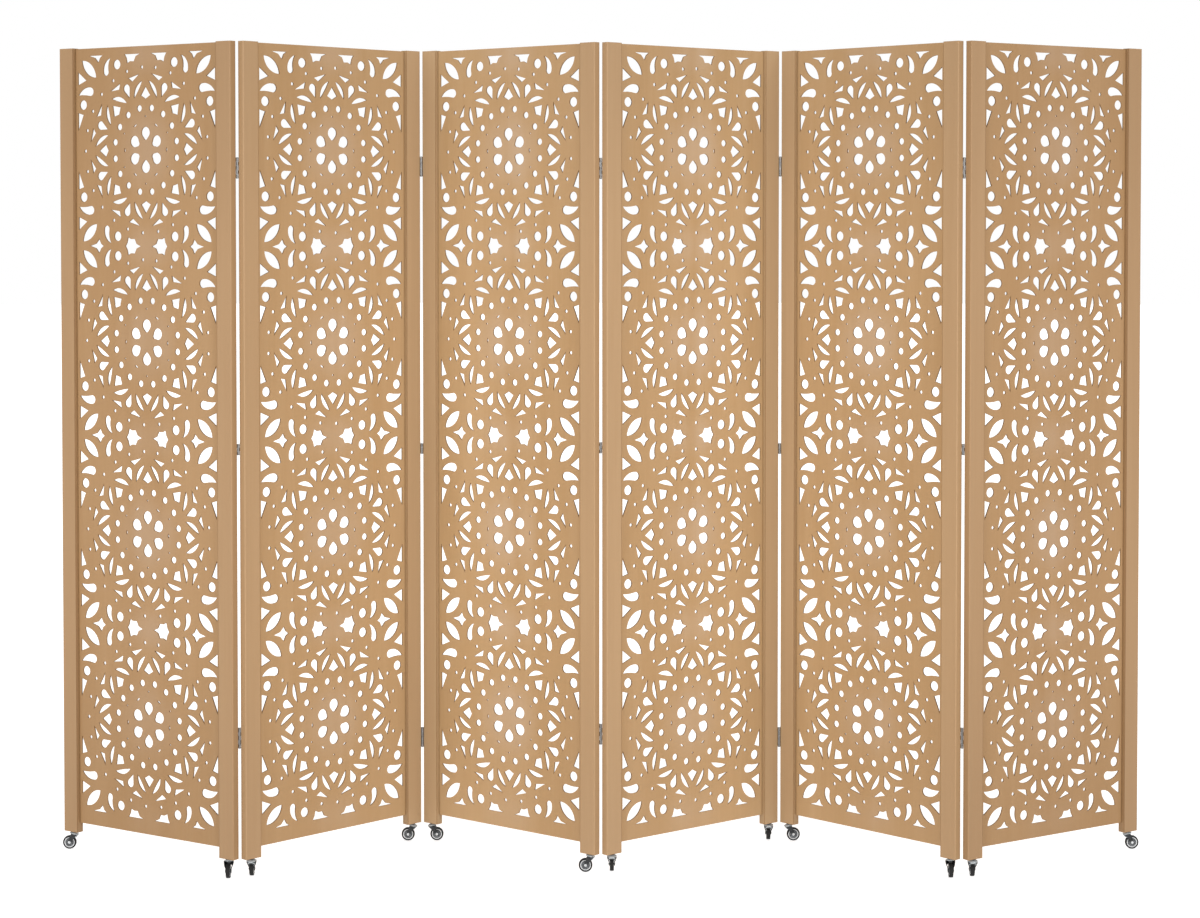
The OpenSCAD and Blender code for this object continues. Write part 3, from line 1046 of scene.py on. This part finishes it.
    def rib(self) -> np.ndarray:
        """Shape the rib: a round bead that runs over the shield as an arch, tapered out at its feet.

        Its height falls from the crown with the 2.6th power of the angle from the front, and its
        ring lies across the path, spanned by the outward and the sideways direction.

        Returns:
            Rings along the path.
        """
        share = np.linspace(-1, 1, 33)
        angle = math.pi + math.radians(self.rib_spread) * share
        path = self.on_shield(angle, self.rib_crown - self.rib_fall * np.abs(share) ** 2.6, 0.05)
        out = np.stack([np.cos(angle), np.sin(angle), np.zeros_like(angle)], -1)
        ahead = np.gradient(path, axis=0)
        ahead /= np.linalg.norm(ahead, axis=1, keepdims=True)
        side = np.cross(ahead, out)
        bead = self.rib_r * np.sqrt(np.clip(1 - share ** 8, 0, 1))
        turn = np.arange(10) * TAU / 10
        ring = np.cos(turn)[None, :, None] * out[:, None] + np.sin(turn)[None, :, None] * side[:, None]
        return path[:, None] + bead[:, None, None] * ring

    def cheek(self, side: int) -> np.ndarray:
        """Shape a cheek: a strip from the axle's eye up to the hood, bowed out as far as the shield.

        Rows run along the line from the axle to the top; their half width is the eye's circle
        below the axle, and grows evenly above it.

        Args:
            side: 1 or -1, the side of the wheel that it stands on.

        Returns:
            Rings round the strip, the first and the last drawn to a point.
        """
        eye, top = np.array([self.trail, self.wheel_r]), np.array([0.0, self.hood_z - 1.2])
        length = float(np.hypot(*(top - eye)))
        ahead = (top - eye) / length
        share = np.concatenate([-self.eye_r * np.cos(np.radians(np.linspace(0, 80, 8))),
                                np.linspace(0, length, 14)])
        half = np.where(share < 0, np.sqrt(np.clip(self.eye_r ** 2 - share ** 2, 0, None)),
                        self.eye_r + (self.cheek_half - self.eye_r) * share / length)
        width = np.array([-1.0, -0.94, 0.94, 1.0, 1.0, 0.94, -0.94, -1.0])
        depth = np.array([0.25, 0.0, 0.0, 0.25, 1.35, 1.6, 1.6, 1.35])
        x = eye[0] + np.outer(share, np.full(8, ahead[0])) + np.outer(half, width) * ahead[1]
        z = eye[1] + np.outer(share, np.full(8, ahead[1])) - np.outer(half, width) * ahead[0]
        wide = self.shield_half - self.shield_taper * (self.hood_z - z) ** 2 + self.shield_proud
        bow = np.maximum(wide - self.cheek_out, 0.0)
        grid = np.stack([x, side * (self.cheek_in + depth + bow), z], -1)
        ends = [grid[row].mean(axis=0) * np.ones((1, 8, 1)) for row in (0, -1)]
        return np.concatenate([ends[0], grid, ends[1]])

    def boss(self) -> np.ndarray:
        """Shape the boss: the ring that the pivot turns in, with a groove where its two races meet.

        Returns:
            Points, steps round the axis by steps along the profile.
        """
        profile = np.array([[2.56, 30.6], [5.7, 30.6], [6.0, 31.0], [6.0, 35.4], [5.4, 36.2], [5.1, 36.6],
                            [5.5, 37.0], [5.4, 37.9], [5.0, 38.15], [2.56, 38.15]])
        return revolve(profile, self.steps)

    def build(self, finishes: dict[str, bpy.types.Material]) -> None:
        """Make the caster's pieces, and let each ride on its body in place of the plain solid.

        Args:
            finishes: The screen's metal and rubber finishes by name.
        """
        tyre = Skin()
        tyre.add(self._on_axle(self.tyre()), True, True)
        hub = Skin()
        hub.add(self._on_axle(self.hub()), True, True, self._hub_part)
        fork = Skin()
        fork.add(self.shield(), False, True, 0)
        for side in (-1, 1):
            fork.add(self.cheek(side), False, True, 0)
        fork.add(self.boss(), True, True, 0)
        # the rib and the hood take the hood's plating, brightened as a painted highlight along the arch
        fork.add(self.rib(), False, True, 1)
        fork.add(self.hood(), True, True, 1)
        rivet = Skin()
        rivet.add(self._on_axle(self.rivet()), True, False)
        pieces = [
            (tyre, "tyre", "wheel", [finishes["tyre"]], "wheel_rubber"),
            # the hub's bright ring and its band in tyre rubber are a painted highlight and painted shade
            (hub, "hub", "wheel", [finishes["hub"], finishes["ring"], finishes["tyre"]], "fork_metal"),
            (fork, "fork", "fork", [finishes["fork"], finishes["hood"]], "fork_metal"),
            (rivet, "axle_rivet", "fork", [finishes["rivet"]], "hinge_steel"),
        ]
        for skin, word, body, materials, slot in pieces:
            piece = skin.make(f"{word}_{self.number}", self.place, materials)
            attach(piece, f"{body}_{self.number}")
            if word in ("tyre", "fork"):
                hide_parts(f"caster_{body}_{self.number}")
            log.info("caster piece %s on %s_%d", piece.name, body, self.number)

    def _hub_part(self, centres: np.ndarray) -> np.ndarray:
        """Number the finish by distance from the axle: web, rim ring painted bright as a highlight, and an
        outer band in the tyre's rubber, the tyre's lip over the rim widened as painted shade.
        """
        reach = np.hypot(centres[:, 0] - self.trail, centres[:, 2] - self.wheel_r)
        return (reach > self.rim_r).astype(int) + (reach > self.lip_r)


# ---------------------------------------------------------------- panels


def dress(node: str, material: bpy.types.Material) -> None:
    """Give a node of the frame its finish.

    Args:
        node: The node's name.
        material: The finish.
    """
    solid = frame["nodes"][node]
    if not solid.material_slots:
        solid.data.materials.append(material)
    for held in solid.material_slots:
        held.material = material
    log.info("dressed %s with %s", node, material.name)


@dataclass
class Panel:
    """One panel: its lattice board, two stiles and the stems in their feet."""

    number: int
    place: Place
    board: WoodFinish
    stile: WoodFinish
    # painted light: gains of the veneer's brightness at its left and right end
    ends: tuple[float, float]

    def dress(self, stem: bpy.types.Material) -> None:
        """Dress the panel's nodes.

        Args:
            stem: Finish of the casters' stems.
        """
        k = self.number
        dress(f"lattice_board_{k}", self.board.make(self.place, 3.0 + 1.7 * k, self.ends))
        dress(f"left_stile_{k}", self.stile.make(self.place, 11.0 + 2.3 * k, self.ends))
        dress(f"right_stile_{k}", self.stile.make(self.place, 29.0 + 2.9 * k, self.ends))
        dress(f"caster_stems_{k}", stem)


@dataclass
class Screen:
    """The whole folding screen."""

    plan: Plan
    panels: int = 6
    # painted light: each panel's brightness at its left and right end, raised at the valley folds and lowered
    # at the screen's outer ends
    painted_light_gains: tuple[tuple[float, float], ...] = (
        (0.80, 0.85), (0.94, 1.07), (1.13, 0.97), (0.97, 1.13), (1.07, 0.94), (0.85, 0.80))
    board: WoodFinish = BoardFinish(
        "board_veneer", shown(203, 162, 117), shown(191, 148, 100), shown(172, 134, 92),
        Cut.HOLES, figure=1.0, fibre=0.55, rough=0.55)
    stile: WoodFinish = WoodFinish(
        "stile_veneer", shown(203, 164, 122), shown(192, 152, 110), shown(172, 134, 94),
        Cut.ENDS, figure=0.8, fibre=0.6, rough=0.5)

    def finishes(self) -> dict[str, bpy.types.Material]:
        """Make the finishes that several pieces share.

        Returns:
            The finishes by name.
        """
        return {
            "leaf": MetalFinish("leaf_steel", shown(146, 145, 145), shown(190, 189, 188), 0.7, 0.36,
                                brushed=18.0).make(),
            "stem": MetalFinish("stem_steel", shown(70, 72, 74), shown(120, 122, 124), 0.6, 0.4).make(),
            "fork": SmoothFinish("fork_plating", shown(56, 60, 63), shown(16, 17, 18), 0.3, 0.4).make(),
            "hood": HoodFinish().make(),
            "rivet": SmoothFinish("rivet_steel", shown(232, 234, 236), shown(196, 199, 201), 0.4, 0.3).make(),
            "tyre": TyreFinish().make(),
            "hub": SmoothFinish("hub_moulding", shown(118, 121, 124), shown(66, 69, 72), 0.2, 0.45).make(),
            # painted highlight: the bright ring on the hub's rim
            "ring": SmoothFinish("rim_ring_highlight", shown(244, 245, 246), shown(220, 222, 223), 0.1, 0.35).make(),
        }

    def build(self) -> None:
        """Dress the panels and hinges and build the casters."""
        finishes = self.finishes()
        for number, ends in enumerate(self.painted_light_gains, start=1):
            Panel(number, self.plan.panel(number), self.board, self.stile, ends).dress(finishes["stem"])
        for fold in range(1, self.panels):
            for side in ("left", "right"):
                dress(f"fold_{fold}_{side}_leaves", finishes["leaf"])
        for number in range(1, 2 * self.panels + 1):
            Caster(number, self.plan.caster(number)).build(finishes)


# ---------------------------------------------------------------- studio


@dataclass(frozen=True)
class SoftWall:
    """A far, wide light, as even over the whole row of panels as a lit wall."""

    name: str
    bearing: float
    height: float
    width: float
    power: float

    def build(self) -> None:
        """Make the light.

        Its bearing is the angle from the camera's side towards +X that it comes from, its height
        the angle above the floor, and its width the angle that it fills, all in degrees.
        """
        data = bpy.data.lights.new(self.name, "SUN")
        data.angle = math.radians(self.width)
        data.energy = self.power
        lamp = bpy.data.objects.new(self.name, data)
        side, up = math.radians(self.bearing), math.radians(self.height)
        source = Vector((math.sin(side) * math.cos(up), -math.cos(side) * math.cos(up), math.sin(up)))
        lamp.rotation_euler = (-source).to_track_quat("-Z", "Y").to_euler()
        bpy.context.scene.collection.objects.link(lamp)
        log.info("light %s of %g W a square metre", self.name, self.power)


@dataclass(frozen=True)
class Studio:
    """Pale floor, even light and the camera."""

    floor_r: float = 40.0
    floor_steps: int = 64
    floor_tone: Colour = (0.9, 0.9, 0.9)
    floor_glow: float = 0.62
    daylight: float = 0.42
    focal_px: float = 2666.0
    width_px: float = 1200.0
    camera_at: tuple[float, float, float] = (-0.0017, -5.887, 1.4168)
    pitch: float = 1.775
    shift: float = -0.130
    lights: tuple[SoftWall, ...] = (
        SoftWall("left_wall", -44.0, 9.0, 32.0, 2.1),
        SoftWall("right_wall", 44.0, 9.0, 32.0, 2.1),
        SoftWall("back_wall", 180.0, 14.0, 50.0, 1.5),
    )

    def floor(self) -> None:
        """Lay the floor: rings of a flat disc, wider apart as they go out."""
        radius = np.concatenate([[0.0], np.geomspace(0.6, self.floor_r, 12)])
        profile = np.stack([radius, np.zeros_like(radius)], -1)
        grid = revolve(profile, self.floor_steps)
        mesh = bpy.data.meshes.new("floor")
        quads = grid_quads(self.floor_steps, len(radius), True, False)
        mesh.from_pydata(grid.reshape(-1, 3), [], quads)
        work = bmesh.new()
        work.from_mesh(mesh)
        bmesh.ops.remove_doubles(work, verts=work.verts, dist=1e-6)
        bmesh.ops.recalc_face_normals(work, faces=work.faces)
        for face in work.faces:
            if face.normal.z < 0:
                face.normal_flip()
        work.to_mesh(mesh)
        work.free()
        bench = Bench("floor_pale")
        point = bench.node("ShaderNodeTexCoord", out="Object")
        cloud = bench.noise(point, 1.3, 3.0)
        shade = tuple(0.985 * c for c in self.floor_tone)
        mesh.materials.append(bench.finish(
            Base_Color=bench.mix(cloud.clamped(), shade, self.floor_tone),
            Roughness=0.85, Specular_IOR_Level=0.1,
            Emission_Color=(1.0, 1.0, 1.0), Emission_Strength=self.floor_glow))
        floor = bpy.data.objects.new("floor", mesh)
        bpy.context.scene.collection.objects.link(floor)

    def world(self) -> None:
        """Fill the studio with even light, before a backdrop that looks white."""
        world = bpy.data.worlds.new("studio")
        world.use_nodes = True
        tree = world.node_tree
        back, out = tree.nodes["Background"], tree.nodes["World Output"]
        back.inputs["Color"].default_value = (1.0, 1.0, 1.0, 1.0)
        back.inputs["Strength"].default_value = self.daylight
        white = tree.nodes.new("ShaderNodeBackground")
        path = tree.nodes.new("ShaderNodeLightPath")
        choose = tree.nodes.new("ShaderNodeMixShader")
        tree.links.new(path.outputs["Is Camera Ray"], choose.inputs["Fac"])
        tree.links.new(back.outputs[0], choose.inputs[1])
        tree.links.new(white.outputs[0], choose.inputs[2])
        tree.links.new(choose.outputs[0], out.inputs["Surface"])
        white.inputs["Color"].default_value = (1.0, 1.0, 1.0, 1.0)
        bpy.context.scene.world = world

    def camera(self) -> None:
        """Set the camera level with the upper part of the screen, in front of its middle."""
        data = bpy.data.cameras.new("camera")
        data.sensor_fit = "HORIZONTAL"
        data.sensor_width = 36.0
        data.lens = self.focal_px / self.width_px * data.sensor_width
        data.shift_y = self.shift
        data.clip_end = 200.0
        camera = bpy.data.objects.new("camera", data)
        camera.location = self.camera_at
        camera.rotation_euler = (math.radians(90.0 - self.pitch), 0.0, 0.0)
        bpy.context.scene.collection.objects.link(camera)
        bpy.context.scene.camera = camera

    def build(self) -> None:
        """Make the floor, the light and the camera."""
        bpy.context.scene.view_settings.view_transform = "Standard"
        self.floor()
        self.world()
        for light in self.lights:
            light.build()
        self.camera()


def main() -> None:
    """Build the screen and its studio, in order."""
    logging.basicConfig(level=logging.INFO, format="%(name)s: %(message)s")
    joints = {joint["name"]: joint for joint in frame["joints"]}
    Screen(Plan(joints)).build()
    Studio().build()


if __name__ == "__main__":
    main()
